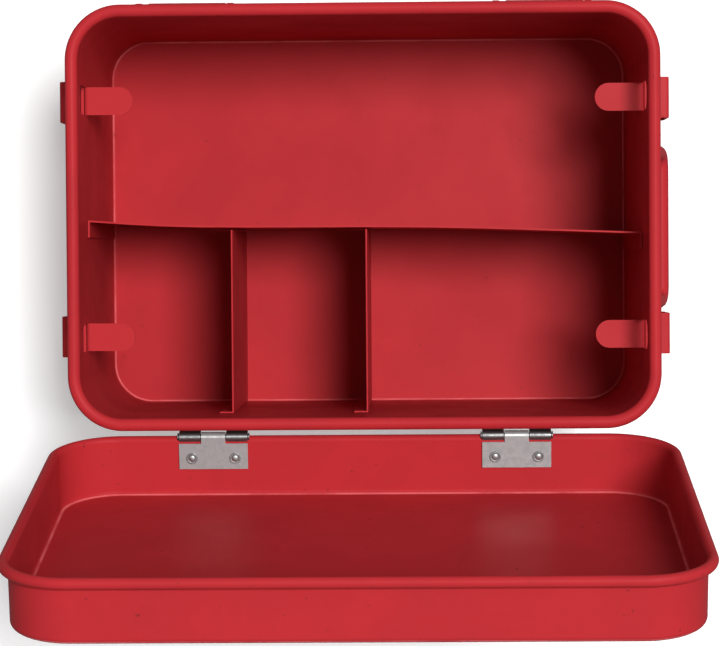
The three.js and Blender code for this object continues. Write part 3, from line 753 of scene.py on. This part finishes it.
class TOOLBOX_OT_stage(bpy.types.Operator):
    """Pale floor, soft studio light and the camera"""
    bl_idname = "toolbox.stage"
    bl_label = "Stage"

    def execute(self, context):
        stage = context.scene.toolbox.stage
        self.floor(stage)
        self.sky(context.scene, stage)
        self.lamp("key_light", stage.key, stage.key_size, stage.key_power)
        glint = self.lamp("glint_light", stage.glint, stage.glint_size, stage.glint_power)
        glint.visible_diffuse = False
        self.camera(context.scene, stage)
        context.scene.view_settings.view_transform = "Standard"
        return {"FINISHED"}

    def floor(self, stage):
        bm = bmesh.new()
        bmesh.ops.create_grid(bm, x_segments=1, y_segments=1, size=stage.floor / 2)
        mesh = bpy.data.meshes.new("floor")
        bm.to_mesh(mesh)
        bm.free()
        material = bpy.data.materials.new("Floor")
        material.use_nodes = True
        shader = material.node_tree.nodes["Principled BSDF"]
        shader.inputs["Base Color"].default_value = (*stage.floor_colour, 1.0)
        shader.inputs["Roughness"].default_value = 0.9
        shader.inputs["Emission Color"].default_value = (*stage.floor_colour, 1.0)
        shader.inputs["Emission Strength"].default_value = stage.floor_glow
        mesh.materials.append(material)
        floor = bpy.data.objects.new("floor", mesh)
        # Without bounce from the floor, the outsides of the rims stay dark.
        floor.visible_glossy = False
        floor.visible_diffuse = False
        bpy.context.scene.collection.objects.link(floor)

    def sky(self, scene, stage):
        world = bpy.data.worlds.new("Studio")
        world.use_nodes = True
        world.node_tree.nodes["Background"].inputs["Strength"].default_value = stage.sky
        world.node_tree.nodes["Background"].inputs["Color"].default_value = (1.0, 1.0, 1.0, 1.0)
        scene.world = world

    def lamp(self, name, place, size, power):
        """A round soft light that points at the middle of the box."""
        data = bpy.data.lights.new(name, "AREA")
        data.energy = power
        data.shape = "DISK"
        data.size = size
        lamp = bpy.data.objects.new(name, data)
        lamp.location = place
        lamp.rotation_mode = "QUATERNION"
        lamp.rotation_quaternion = (Vector(place) - Vector((0, 0, 100 * MM))).to_track_quat("Z", "Y")
        bpy.context.scene.collection.objects.link(lamp)
        return lamp

    def camera(self, scene, stage):
        data = bpy.data.cameras.new("camera")
        data.lens = stage.lens
        data.sensor_width = 36.0
        data.clip_start = 0.05
        camera = bpy.data.objects.new("camera", data)
        camera.location = stage.camera
        camera.rotation_euler = (stage.pitch, stage.yaw, stage.roll)
        scene.collection.objects.link(camera)
        scene.camera = camera


OPERATORS = (
    TOOLBOX_OT_stage, TOOLBOX_OT_body, TOOLBOX_OT_supports, TOOLBOX_OT_lid, TOOLBOX_OT_partition,
    TOOLBOX_OT_loops, TOOLBOX_OT_handle, TOOLBOX_OT_hinges, TOOLBOX_OT_latches,
)


class TOOLBOX_PT_panel(bpy.types.Panel):
    """Lists the toolbox's sizes and colours and the steps that build it"""
    bl_idname = "TOOLBOX_PT_panel"
    bl_label = "Steel Toolbox"
    bl_space_type = "VIEW_3D"
    bl_region_type = "UI"
    bl_category = "Toolbox"

    def draw(self, context):
        settings = context.scene.toolbox
        for operator in OPERATORS:
            self.layout.operator(operator.bl_idname)
        for group in (getattr(settings, name) for name in settings.__annotations__):
            column = self.layout.box().column()
            for name in group.__annotations__:
                column.prop(group, name)


GROUPS = (BodySizes, LidSizes, RivetSizes, EnamelLook, SteelLook, StageSizes, ToolboxSettings)
CLASSES = (*GROUPS, *OPERATORS, TOOLBOX_PT_panel)


def register():
    for cls in CLASSES:
        bpy.utils.register_class(cls)
    bpy.types.Scene.toolbox = PointerProperty(type=ToolboxSettings)


def unregister():
    del bpy.types.Scene.toolbox
    for cls in reversed(CLASSES):
        bpy.utils.unregister_class(cls)


def main():
    register()
    for operator in OPERATORS:
        getattr(bpy.ops.toolbox, operator.bl_idname.split(".")[1])()


if __name__ == "__main__":
    main()
